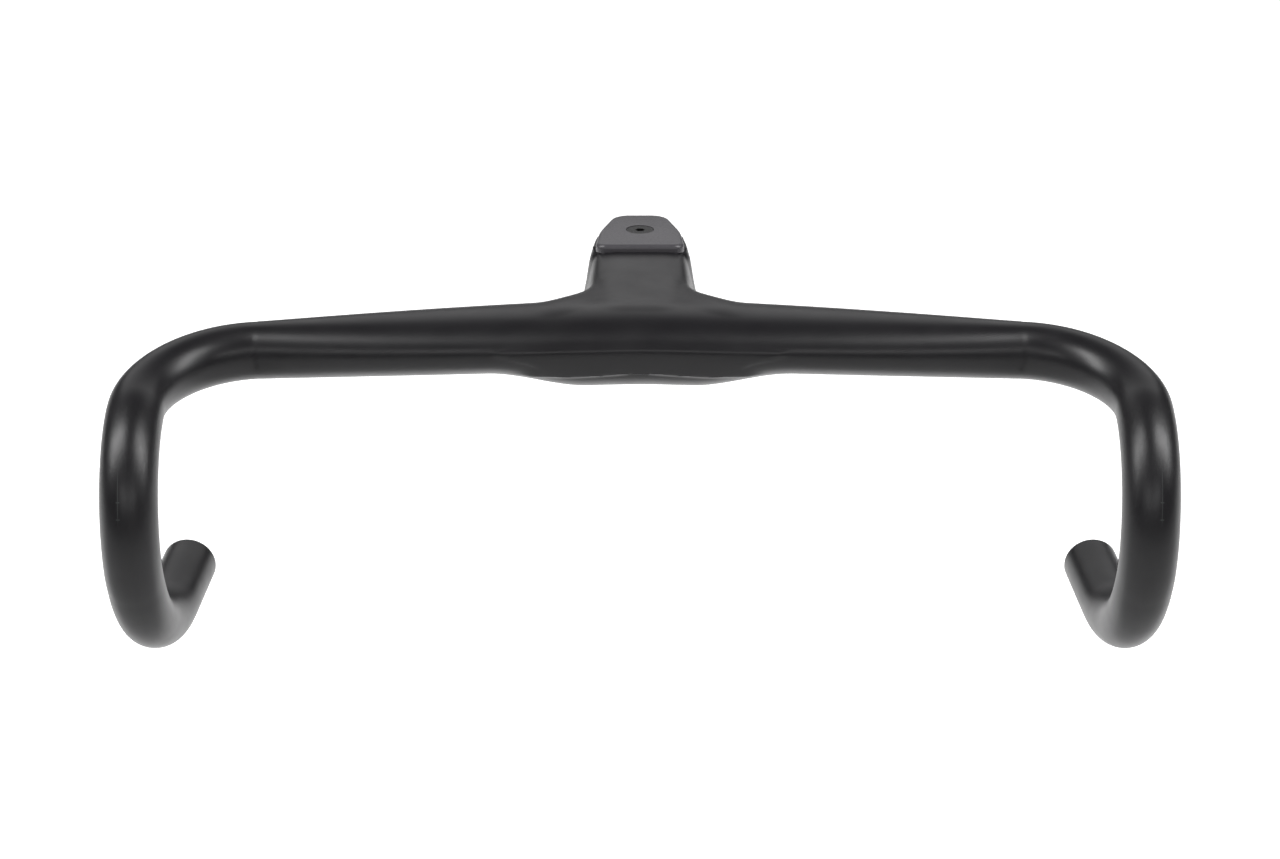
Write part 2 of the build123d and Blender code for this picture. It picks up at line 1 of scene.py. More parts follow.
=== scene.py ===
"""One-piece road handlebar and stem: the finished look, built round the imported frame.

Lengths inside the shape classes are millimetres, as a bar maker's drawing has them, and become
metres when a mesh is made.  The steerer's axis is Z, the bar lies forward on -Y, and X runs across.
"""

import logging
import math
from collections.abc import Callable, Sequence
from dataclasses import dataclass, field
from enum import Enum

import bmesh
import bpy
import numpy as np
from mathutils import Matrix, Vector


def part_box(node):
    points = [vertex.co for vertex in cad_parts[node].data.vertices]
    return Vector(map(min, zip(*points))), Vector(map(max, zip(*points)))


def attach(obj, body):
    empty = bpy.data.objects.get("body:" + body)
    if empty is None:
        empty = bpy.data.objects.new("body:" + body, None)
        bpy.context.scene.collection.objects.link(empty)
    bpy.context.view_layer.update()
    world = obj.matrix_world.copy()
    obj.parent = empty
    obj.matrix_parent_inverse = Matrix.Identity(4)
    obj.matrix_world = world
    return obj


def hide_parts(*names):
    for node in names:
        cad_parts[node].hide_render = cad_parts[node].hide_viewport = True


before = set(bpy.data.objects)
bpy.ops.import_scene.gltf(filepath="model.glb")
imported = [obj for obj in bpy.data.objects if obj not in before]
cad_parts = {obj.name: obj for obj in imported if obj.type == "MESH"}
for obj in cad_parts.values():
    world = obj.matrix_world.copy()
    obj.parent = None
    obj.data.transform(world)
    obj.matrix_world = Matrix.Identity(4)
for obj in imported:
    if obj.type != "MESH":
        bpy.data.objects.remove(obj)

MM = 0.001
LOG = logging.getLogger("handlebar")
Array = np.ndarray
Colour = tuple[float, float, float]
Place = tuple[float, float, float]


class Side(Enum):
    """The rider's two sides, as the sign of X."""

    LEFT = 1
    RIGHT = -1


# ---------------------------------------------------------------- small geometry helpers
def ease(share: Array | float) -> Array:
    """Smooth step.

    Args:
        share: values, held to the range 0 to 1.

    Returns:
        Values from 0 to 1 with level ends.
    """
    held = np.clip(share, 0.0, 1.0)
    return held * held * (3 - 2 * held)


def soft_min(first: Array, second: Array, width: Array | float) -> Array:
    """Lower of two distances, rounded where they are nearly equal.

    Args:
        first: distances to one body.
        second: distances to the other body.
        width: how far apart the two may be and still blend.

    Returns:
        The blended distances.
    """
    near = np.clip(width - np.abs(first - second), 0.0, None) / width
    return np.minimum(first, second) - near * near * width / 4


def power_distance(
    across: Array, height: Array, half: Array, depth: Array, power: Array | float
) -> tuple[Array, Array]:
    """Distance to a superellipse, to first order.

    Args:
        across: first coordinate from the section's centre.
        height: second coordinate from the section's centre.
        half: half size along the first coordinate.
        depth: half size along the second coordinate.
        power: 2 for an ellipse, more for a squarer section.

    Returns:
        Signed distances, negative inside, and how far the nearest skin faces up, from -1 to 1.
    """
    u = np.abs(across) / half + 1e-6
    v = np.abs(height) / depth + 1e-6
    radius = (u**power + v**power) ** (1 / power)
    out, up = u ** (power - 1) / half, v ** (power - 1) / depth
    slope = np.hypot(out, up)
    return (radius - 1) * radius ** (power - 1) / slope, np.sign(height) * up / slope


def rounded_plate_distance(plan: Array, height: Array, low: float, high: float, edge: float) -> Array:
    """Distance to a plan outline stood up between two heights, with rounded edges.

    Args:
        plan: signed distances to the outline in plan.
        height: heights of the points.
        low: height of the lower face.
        high: height of the upper face.
        edge: radius of the edges.

    Returns:
        Signed distances, negative inside.
    """
    out = plan + edge
    up = np.abs(height - (low + high) / 2) - (high - low) / 2 + edge
    return np.minimum(np.maximum(out, up), 0) + np.hypot(np.maximum(out, 0), np.maximum(up, 0)) - edge


# ---------------------------------------------------------------- the bar's line
@dataclass(frozen=True)
class Run:
    """A straight stretch of the bar's line, in millimetres."""

    start: Array
    end: Array
    begins: float

    @property
    def length(self) -> float:
        """Length of the stretch."""
        return float(np.linalg.norm(self.end - self.start))

    def nearest(self, points: Array) -> tuple[Array, Array]:
        """Nearest places on the stretch.

        Args:
            points: rows of x, y, z.

        Returns:
            The nearest points, and how far along the whole line each one is.
        """
        along = (self.end - self.start) / self.length
        travel = np.clip((points - self.start) @ along, 0, self.length)
        return self.start + travel[:, None] * along, self.begins + travel


@dataclass(frozen=True)
class Bend:
    """An arc of the bar's line, in millimetres."""

    centre: Array
    towards_start: Array
    onward: Array
    radius: float
    turn: float
    begins: float

    @property
    def length(self) -> float:
        """Length of the arc."""
        return self.radius * self.turn

    def nearest(self, points: Array) -> tuple[Array, Array]:
        """Nearest places on the arc.

        Args:
            points: rows of x, y, z.

        Returns:
            The nearest points, and how far along the whole line each one is.
        """
        offset = points - self.centre
        angle = np.arctan2(offset @ self.onward, offset @ self.towards_start)
        half = self.turn / 2
        angle = np.clip(np.mod(angle - half + math.pi, 2 * math.pi) - math.pi + half, 0, self.turn)
        spoke = np.cos(angle)[:, None] * self.towards_start + np.sin(angle)[:, None] * self.onward
        return self.centre + self.radius * spoke, self.begins + self.radius * angle


@dataclass
class BarLine:
    """The centre line of one half of the bar, from the middle to the drop's end.

    Each corner is placed from the bar's axis at the hoods: outward, backward and upward.
    """

    half_width: float = 210.0
    stem_length: float = 100.0
    height: float = 22.0
    outer: Place = (2.0, -2.8, -7.0)
    hood: Place = (0.0, -94.8, -23.0)
    throat: Place = (0.0, -84.8, -74.2)
    heel: Place = (-1.0, -62.7, -119.2)
    end: Place = (-6.4, 16.3, -114.4)
    radii: tuple[float, float, float, float] = (47.2, 44.1, 40.0, 61.8)
    overrun: float = 6.0
    pieces: list[Run | Bend] = field(init=False)

    def __post_init__(self) -> None:
        """Lay the runs and arcs out from the corners."""
        corners = self.corners()
        self.pieces = []
        at, begins = corners[0], 0.0
        for before, corner, after, radius in zip(corners, corners[1:], corners[2:], self.radii):
            inward = (before - corner) / np.linalg.norm(before - corner)
            outward = (after - corner) / np.linalg.norm(after - corner)
            turn = math.pi - math.acos(float(np.clip(inward @ outward, -1, 1)))
            reach = radius * math.tan(turn / 2)
            first = corner + inward * reach
            bisector = (inward + outward) / np.linalg.norm(inward + outward)
            centre = corner + bisector * radius / math.cos(turn / 2)
            self.pieces.append(Run(at, first, begins))
            begins += self.pieces[-1].length
            self.pieces.append(Bend(centre, (first - centre) / radius, -inward, radius, turn, begins))
            begins += self.pieces[-1].length
            at = corner + outward * reach
        end = corners[-1] + self.end_direction() * self.overrun
        self.pieces.append(Run(at, end, begins))

    def corners(self) -> list[Array]:
        """Corners of the line before rounding, middle first."""
        middle = np.array([0.0, -self.stem_length, self.height])
        hoods = middle + np.array([self.half_width, 0.0, 0.0])
        places = (self.outer, self.hood, self.throat, self.heel, self.end)
        return [middle] + [hoods + np.array(place) for place in places]

    def end_direction(self) -> Array:
        """Unit direction out of the drop's end."""
        heel, end = self.corners()[-2:]
        return (end - heel) / np.linalg.norm(end - heel)

    def nearest(self, points: Array) -> tuple[Array, Array, Array]:
        """Nearest places on the line.

        Args:
            points: rows of x, y, z, with x not negative.

        Returns:
            The nearest points, how far along each is, and how far off each given point is.
        """
        best = np.full(len(points), np.inf)
        spot = np.zeros_like(points)
        along = np.zeros(len(points))
        for piece in self.pieces:
            near, travel = piece.nearest(points)
            gap = np.linalg.norm(points - near, axis=1)
            closer = gap < best
            best[closer], spot[closer], along[closer] = gap[closer], near[closer], travel[closer]
        return spot, along, best


# ---------------------------------------------------------------- the moulding's outer shape
@dataclass
class Moulding:
    """Outer shape of the tops, hooks, stem and clamp block, as signed distances in millimetres."""

    line: BarLine = field(default_factory=BarLine)
    tube: float = 12.0
    bend_swell: float = 0.4
    swell_end: float = 235.0
    swell_length: float = 60.0
    # tops, a wing in section
    half_chord: float = 26.0
    half_height: float = 13.5
    setback: float = 4.4
    taper_end: float = 166.0
    taper_power: float = 1.9
    taper_ease: float = 1.5
    crown_ease: float = 12.0
    # belly under the middle of the tops
    belly_depth: float = 20.0
    belly_flat: float = 22.0
    belly_span: float = 66.0
    belly_squareness: float = 2.4
    belly_turn: float = 0.6
    # stem's beam; shares run from 0 at the steerer to 1 at the tops
    stack: float = 36.0
    beam_start: float = 5.0
    beam_nose: float = 8.0
    beam_half: float = 24.2
    beam_gain: float = 3.4
    beam_fall: float = 0.55
    nose_curve: float = 0.03
    beam_floor: float = 1.0
    floor_rise: float = 6.5
    floor_share: float = 0.72
    beam_squareness: float = 3.6
    beam_rear_squareness: float = 7.0
    soften_share: float = 0.25
    soften_length: float = 0.35
    beam_draft: float = 0.17
    draft_limit: float = 1.2
    beam_spread: float = 2.5
    spread_share: float = 0.6
    # clamp block, in plan from the steerer's skin
    steerer: float = 14.3
    side_wall: float = 4.1
    front_wall: float = 10.0
    rear_wall: float = 9.15
    front_spread: float = 2.1
    middle_spread: float = 0.6
    middle_y: float = -2.0
    rear_half: float = 12.0
    cap_radii: tuple[float, ...] = (5.0, 60.0, 9.0)
    block_grow: float = 1.0
    block_front_wall: float = 4.0
    block_corner: float = 4.5
    block_edge: float = 1.1
    block_bulge: float = 1.8
    bulge_height: float = 0.45
    # blends
    flare: float = 25.0
    flare_foot: float = 1.0
    flare_rise: float = 8.0
    flare_gain: float = 1.25
    seam: float = 1.0
    rim: float = 0.6
    rim_gain: float = 3.4
    rim_depth: float = 6.0
    stem_reach: float = 95.0
    stem_bottom: float = -25.0

    def taper(self, along: Array) -> Array:
        """How much of the wing's extra size is left.

        Args:
            along: distances along the bar's line.

        Returns:
            Values from 1 in the middle to 0 at the taper's end.
        """
        share = 1 - (along / self.taper_end) ** self.taper_power
        extra = (self.half_chord - self.tube) * share
        return -soft_min(-extra, np.zeros_like(extra), self.taper_ease) / (self.half_chord - self.tube)

    def bar_distance(self, points: Array) -> tuple[Array, Array]:
        """Distance to the tops and hooks.

        Args:
            points: rows of x, y, z.

        Returns:
            Signed distances, negative inside, and how far the nearest skin of the tops faces up.
        """
        folded = points.copy()
        folded[:, 0] = np.abs(points[:, 0])
        crown = np.hypot(points[:, 0], self.crown_ease) - folded[:, 0]
        top_run = self.line.pieces[0]
        outward = (top_run.end - top_run.start) / top_run.length
        folded[:, 2] -= crown * outward[2] / outward[0]
        folded[:, 1] -= crown * outward[1] / outward[0]
        spot, along, off = self.line.nearest(folded)
        result = off - self.tube - self.bend_swell * ease((self.swell_end - along) / self.swell_length)
        facing = np.zeros(len(points))
        tops = np.flatnonzero(along < top_run.length - 1e-6)
        if len(tops) == 0:
            return result, facing
        ahead = np.cross(np.array([0.0, 0.0, 1.0]), outward)
        ahead /= np.linalg.norm(ahead)
        up = np.cross(outward, ahead)
        offset = folded[tops] - spot[tops]
        share = self.taper(along[tops])
        tube = self.tube + self.bend_swell
        chord = tube + (self.half_chord - tube) * share
        depth = tube + (self.half_height - tube) * share
        belly = ease((self.belly_span - folded[tops, 0]) / (self.belly_span - self.belly_flat))
        height = offset @ up
        under = ease(-height / (self.belly_turn * self.belly_depth))
        power = 2 + (self.belly_squareness - 2) * belly * under
        depth = np.where(height < 0, depth + (self.belly_depth - depth) * belly, depth)
        across = offset @ ahead - self.setback * share
        result[tops], facing[tops] = power_distance(across, height, chord, depth, power)
        return result, facing

    def stem_distance(self, points: Array) -> tuple[Array, Array]:
        """Distance to the stem's beam.

        Args:
            points: rows of x, y, z.

        Returns:
            Signed distances, negative inside, and how far the nearest skin faces up.
        """
        x, y, z = points.T
        crest = self.line.stem_length - self.setback
        share = np.clip(-y / crest, 0, 1)
        ahead = np.clip(-y - crest, 0, None)
        top = self.stack - self.beam_fall * ease(share) - self.nose_curve * ahead**2
        floor = self.beam_floor + self.floor_rise * ease((share - self.floor_share) / (1 - self.floor_share))
        middle, rise = (top + floor) / 2, (top - floor) / 2
        level = np.clip((z - middle) / rise, -self.draft_limit, self.draft_limit)
        foot = self.beam_spread * np.clip(-level, 0, 1) ** 2 * ease(share / self.spread_share)
        half = (self.beam_half + self.beam_gain * share**2) * (1 - self.beam_draft * level) + foot
        soften = ease((share - self.soften_share) / self.soften_length)
        power = self.beam_rear_squareness + (self.beam_squareness - self.beam_rear_squareness) * soften
        body, facing = power_distance(x, z - middle, half, rise, power)
        ends = np.maximum(y + self.beam_start, -y - crest - self.beam_nose)
        return np.maximum(body, ends), facing

    def block_corners(self, grow: float, front_wall: float) -> list[tuple[float, float]]:
        """Corners of the clamp block in plan, all round from front to rear and back.

        Args:
            grow: how far they stand outside the cap's outline.
            front_wall: from the steerer to the front edge.

        Returns:
            Points of x, y.
        """
        axis_half = self.steerer + self.side_wall + grow
        half = [
            (axis_half + self.front_spread, -self.steerer - front_wall - grow),
            (axis_half + self.middle_spread, self.middle_y),
            (self.rear_half + grow, self.steerer + self.rear_wall + grow),
        ]
        return half + [(-x, y) for x, y in reversed(half)]

    def cap_outline(self, grow: float, steps: int = 10) -> list[tuple[float, float]]:
        """Rounded outline of the cap in plan.

        Args:
            grow: how far it stands outside the cap's outline.
            steps: how many chords an arc has.

        Returns:
            Points of x, y.
        """
        radii = self.cap_radii + self.cap_radii[::-1]
        return arc_outline(self.block_corners(grow, self.front_wall), radii, steps)

    def outline_distance(self, x: Array, y: Array, grow: float, corner: float) -> Array:
        """Distance in plan to the clamp block's outline.

        Args:
            x: first coordinates.
            y: second coordinates.
            grow: how far the outline stands outside the cap's.
            corner: radius of the corners.

        Returns:
            Signed distances, negative inside.
        """
        loop = self.block_corners(grow - corner, self.block_front_wall)
        inside = np.full(x.shape, -np.inf)
        gap = np.full(x.shape, np.inf)
        for (ax, ay), (bx, by) in zip(loop, loop[1:] + loop[:1]):
            ex, ey = bx - ax, by - ay
            size = math.hypot(ex, ey)
            share = np.clip(((x - ax) * ex + (y - ay) * ey) / size**2, 0, 1)
            gap = np.minimum(gap, np.hypot(x - ax - share * ex, y - ay - share * ey))
            inside = np.maximum(inside, ((x - ax) * ey - (y - ay) * ex) / size)
        return np.where(inside > 0, gap, inside) - corner

    def clamp_distance(self, points: Array) -> Array:
        """Distance to the clamp block.

        Args:
            points: rows of x, y, z.

        Returns:
            Signed distances, negative inside.
        """
        x, y, z = points.T
        fullness = 1 - ((z - self.bulge_height * self.stack) / ((1 - self.bulge_height) * self.stack)) ** 2
        plan = self.outline_distance(x, y, self.block_grow, self.block_corner)
        plan = plan - self.block_bulge * np.clip(fullness, 0, 1)
        return rounded_plate_distance(plan, z, 0.0, self.stack, self.block_edge)

    def distance(self, points: Array) -> Array:
        """Distance to the whole moulding.

        Args:
            points: rows of x, y, z.

        Returns:
            Signed distances, negative inside.
        """
        bar, bar_facing = self.bar_distance(points)
        centre = np.flatnonzero((np.abs(points[:, 0]) < self.stem_reach) & (points[:, 2] > self.stem_bottom))
        near = points[centre]
        z = near[:, 2]
        stem, stem_facing = self.stem_distance(near)
        together = bar_facing[centre] * stem_facing
        corner = ease(self.flare_gain * (1 - np.clip(together, 0, 1)))
        window = ease((z - self.flare_foot) / self.flare_rise) * corner
        joined = soft_min(bar[centre], stem, self.seam + (self.flare - self.seam) * window)
        rim = self.rim + self.rim_gain * ease((self.stack - 0.5 - z) / self.rim_depth)
        bar[centre] = soft_min(joined, self.clamp_distance(near), rim)
        return bar


# ---------------------------------------------------------------- meshing
@dataclass
class SkinMesher:
    """Turns a distance function into an even mesh of four-sided faces."""

    distance: Callable[[Array], Array]
    low: tuple[float, float, float]
    high: tuple[float, float, float]
    step: float = 1.25
    coarse: int = 5
    band: float = 1.6
    smoothing: int = 4
    pull: float = 0.6

    def grid(self) -> tuple[list[Array], Array]:
        """Distances on a grid, exact only near the skin.

        Returns:
            The grid's coordinates along each axis, and the distances.
        """
        spans = [int(math.ceil((b - a) / self.step / self.coarse)) for a, b in zip(self.low, self.high)]
        wide = self.step * self.coarse
        centres = [a + wide * (np.arange(n) + 0.5) for a, n in zip(self.low, spans)]
        coarse = self.distance(np.stack(np.meshgrid(*centres, indexing="ij"), -1).reshape(-1, 3))
        coarse = coarse.reshape(spans)
        values = coarse
        for axis in range(3):
            values = np.repeat(values, self.coarse, axis=axis)
        axes = [a + self.step * (np.arange(n * self.coarse) + 0.5) for a, n in zip(self.low, spans)]
        near = np.flatnonzero(np.abs(values.ravel()) < self.band * wide)
        index = np.unravel_index(near, values.shape)
        points = np.stack([axes[k][index[k]] for k in range(3)], -1)
        flat = values.ravel().copy()
        flat[near] = self.distance(points)
        return axes, flat.reshape(values.shape)

    def slope(self, points: Array) -> Array:
        """Gradient of the distance by central differences.

        Args:
            points: rows of x, y, z.

        Returns:
            Rows of the gradient's x, y, z.
        """
        reach = 0.05
        steps = np.eye(3) * reach
        pairs = [self.distance(points + s) - self.distance(points - s) for s in steps]
        return np.stack(pairs, -1) / (2 * reach)

    def settle(self, points: Array, rounds: int = 3) -> Array:
        """Move points along the gradient onto the skin.

        Args:
            points: rows of x, y, z near the skin.
            rounds: how many corrections to make.

        Returns:
            The points on the skin.
        """
        for _ in range(rounds):
            slope = self.slope(points)
            size = np.maximum((slope * slope).sum(1), 0.05)
            shift = self.distance(points) / size
            points = points - np.clip(shift, -self.step, self.step)[:, None] * slope
        return points

    def cell_points(self, axes: list[Array], values: Array) -> tuple[Array, Array]:
        """One vertex for each cell that the skin crosses, amid its crossed edges.

        Args:
            axes: the grid's coordinates along each axis.
            values: the distances on the grid.

        Returns:
            The vertices, and each cell's vertex number or -1.
        """
        shape = tuple(n - 1 for n in values.shape)
        total = np.zeros((*shape, 3))
        count = np.zeros(shape)
        for axis in range(3):
            first, second = [slice(None)] * 3, [slice(None)] * 3
            first[axis], second[axis] = slice(0, -1), slice(1, None)
            one, two = values[tuple(first)], values[tuple(second)]
            crossed = (one < 0) != (two < 0)
            share = np.where(crossed, one / np.where(crossed, one - two, 1.0), 0.0)
            others = [k for k in range(3) if k != axis]
            for a, b in ((0, 0), (0, 1), (1, 0), (1, 1)):
                pick = [slice(None)] * 3
                pick[others[0]] = slice(a, a + shape[others[0]])
                pick[others[1]] = slice(b, b + shape[others[1]])
                here = crossed[tuple(pick)]
                place = np.zeros((*shape, 3))
                place[..., axis] = share[tuple(pick)]
                place[..., others[0]] = a
                place[..., others[1]] = b
                total += np.where(here[..., None], place, 0.0)
                count += here
        used = count > 0
        number = np.full(shape, -1)
        number[used] = np.arange(int(used.sum()))
        corner = np.stack(np.meshgrid(*[axes[k][: shape[k]] for k in range(3)], indexing="ij"), -1)
        return corner[used] + self.step * total[used] / count[used][:, None], number

    def cell_faces(self, inside: Array, number: Array) -> Array:
        """One face across each crossed edge, joining the four cells round it.

        Args:
            inside: which of the grid's points are inside.
            number: each cell's vertex number.

        Returns:
            Rows of four vertex numbers, seen from outside.
        """
        faces = []
        for axis in range(3):
            u, v = [k for k in range(3) if k != axis]
            first, second = [slice(1, -1)] * 3, [slice(1, -1)] * 3
            first[axis], second[axis] = slice(0, -1), slice(1, None)
            one, two = inside[tuple(first)], inside[tuple(second)]
            index = np.argwhere(one != two)
            flip = two[tuple(index.T)] ^ (axis == 1)
            base = index.copy()
            base[:, [u, v]] += 1
            ring = []
            for du, dv in ((-1, -1), (0, -1), (0, 0), (-1, 0)):
                cell = base.copy()
                cell[:, u] += du
                cell[:, v] += dv
                ring.append(number[tuple(cell.T)])
            quads = np.stack(ring, -1)
            quads[flip] = quads[flip][:, ::-1]
            faces.append(quads)
        return np.concatenate(faces)

    def even_out(self, points: Array, faces: Array) -> Array:
        """Draw each vertex towards its neighbours along the skin, a few times.

        Args:
            points: vertices on the skin.
            faces: rows of four vertex numbers.

        Returns:
            The vertices, more evenly spaced.
        """
        sides = np.concatenate([faces[:, [k, (k + 1) % 4]] for k in range(4)])
        edges = np.unique(np.sort(sides, axis=1), axis=0)
        for _ in range(self.smoothing):
            pulled = np.zeros_like(points)
            shared = np.zeros(len(points))
            for a, b in ((0, 1), (1, 0)):
                np.add.at(pulled, edges[:, a], points[edges[:, b]])
                np.add.at(shared, edges[:, a], 1.0)
            points = self.settle((1 - self.pull) * points + self.pull * pulled / shared[:, None], 1)
        return points

    def build(self) -> tuple[Array, Array]:
        """Mesh the skin.

        Returns:
            Vertices in millimetres, and faces as rows of four indices.
        """
        axes, values = self.grid()
        points, number = self.cell_points(axes, values)
        faces = self.cell_faces(values < 0, number)
        points = self.even_out(self.settle(points), faces)
        return self.settle(points, 1), faces


def mesh_object(name: str, points: Array, faces: Sequence[Sequence[int]]) -> bpy.types.Object:
    """Make a mesh object and link it.

    Args:
        name: the object's name.
        points: rows of x, y, z in millimetres.
        faces: rows of vertex indices.

    Returns:
        The new object.
    """
    mesh = bpy.data.meshes.new(name)
    mesh.from_pydata((np.asarray(points) * MM).tolist(), [], np.asarray(faces).tolist())
    mesh.validate()
    thing = bpy.data.objects.new(name, mesh)
    bpy.context.scene.collection.objects.link(thing)
    return thing


def stood_up(outline: Sequence[tuple[float, float]], low: float, high: float) -> bmesh.types.BMesh:
    """Stand a plan outline up between two heights.

    Args:
        outline: points of x, y.
        low: height of the lower face.
        high: height of the upper face.

    Returns:
        The closed shape, in millimetres.
    """
    shape = bmesh.new()
    face = shape.faces.new([shape.verts.new((x, y, low)) for x, y in outline])
    raised = bmesh.ops.extrude_face_region(shape, geom=[face])
    moved = [item for item in raised["geom"] if isinstance(item, bmesh.types.BMVert)]
    bmesh.ops.translate(shape, verts=moved, vec=(0, 0, high - low))
    bmesh.ops.recalc_face_normals(shape, faces=shape.faces)
    return shape


def finished_object(name: str, shape: bmesh.types.BMesh) -> bpy.types.Object:
    """Turn a shape in millimetres into a linked object in metres.

    Args:
        name: the object's name.
        shape: the shape, which is used up.

    Returns:
        The new object.
    """
    bmesh.ops.scale(shape, vec=(MM, MM, MM), verts=shape.verts)
    mesh = bpy.data.meshes.new(name)
    shape.to_mesh(mesh)
    shape.free()
    thing = bpy.data.objects.new(name, mesh)
    bpy.context.scene.collection.objects.link(thing)
    return thing


@dataclass
class Cutter:
    """Collects closed tools, in millimetres, and takes them out of a piece one by one."""

    tools: list[bpy.types.Object] = field(default_factory=list)

    def rod(self, radius: float, start: Sequence[float], end: Sequence[float], sides: int = 72) -> None:
        """Add a round tool between two points.

        Args:
            radius: its radius.
            start: centre of one end.
            end: centre of the other end.
            sides: how many flats go round it.
        """
        a, b = Vector(start), Vector(end)
        turn = (b - a).to_track_quat("Z", "Y").to_matrix().to_4x4()
        place = Matrix.Translation((a + b) / 2) @ turn
        sizes = {"radius1": radius, "radius2": radius, "depth": (b - a).length}
        shape = bmesh.new()
        bmesh.ops.create_cone(shape, cap_ends=True, segments=sides, matrix=place, **sizes)
        self._keep(shape)

    def block(self, low: Sequence[float], high: Sequence[float]) -> None:
        """Add a box-shaped tool.

        Args:
            low: its lowest corner.
            high: its highest corner.
        """
        a, b = Vector(low), Vector(high)
        shape = bmesh.new()
        size = Matrix.Diagonal((*(b - a), 1.0))
        bmesh.ops.create_cube(shape, size=1.0, matrix=Matrix.Translation((a + b) / 2) @ size)
        self._keep(shape)

    def prism(self, outline: Sequence[tuple[float, float]], low: float, high: float) -> None:
        """Add a tool with the given plan.

        Args:
            outline: points of x, y.
            low: height of its lower face.
            high: height of its upper face.
        """
        self._keep(stood_up(outline, low, high))

    def _keep(self, shape: bmesh.types.BMesh) -> None:
        """Store a tool with its faces turned outward."""
        bmesh.ops.recalc_face_normals(shape, faces=shape.faces)
        self.tools.append(finished_object("tool", shape))

    def cut(self, piece: bpy.types.Object) -> None:
        """Take every tool out of the piece, and remove the tools.

        Args:
            piece: the object that is cut.
        """
        for tool in self.tools:
            modifier = piece.modifiers.new("cut", "BOOLEAN")
            modifier.operation = "DIFFERENCE"
            modifier.solver = "EXACT"
            modifier.object = tool
            apply_modifiers(piece)
            mesh = tool.data
            bpy.data.objects.remove(tool)
            bpy.data.meshes.remove(mesh)
        self.tools.clear()


def apply_modifiers(piece: bpy.types.Object) -> None:
    """Replace the piece's mesh by what its modifiers make of it."""
    depsgraph = bpy.context.evaluated_depsgraph_get()
    made = bpy.data.meshes.new_from_object(piece.evaluated_get(depsgraph))
    old = piece.data
    piece.modifiers.clear()
    piece.data = made
    bpy.data.meshes.remove(old)


def smooth_shade(piece: bpy.types.Object, angle: float = 32.0) -> None:
    """Shade the piece smooth, with hard edges where it turns more than the angle in degrees."""
    piece.data.shade_smooth()
    piece.data.set_sharp_from_angle(angle=math.radians(angle))


def arc_outline(
    corners: Sequence[tuple[float, float]], radii: Sequence[float], steps: int = 10
) -> list[tuple[float, float]]:
    """Round the corners of a closed outline in plan.

    Args:
        corners: points of x, y.
        radii: one radius for each corner.
        steps: how many chords an arc has.

    Returns:
        Points of the rounded outline.
    """
    outline = []
    count = len(corners)
    for index, radius in enumerate(radii):
        here = Vector(corners[index])
        back = (Vector(corners[index - 1]) - here).normalized()
        onward = (Vector(corners[(index + 1) % count]) - here).normalized()
        half = back.angle(onward) / 2
        reach = radius / math.tan(half)
        centre = here + (back + onward).normalized() * radius / math.sin(half)
        first = here + back * reach - centre
        last = here + onward * reach - centre
        sweep = first.angle_signed(last)
        for step in range(steps + 1):
            spoke = first.copy()
            spoke.rotate(Matrix.Rotation(-sweep * step / steps, 2))
            outline.append(tuple(centre + spoke))
    return outline


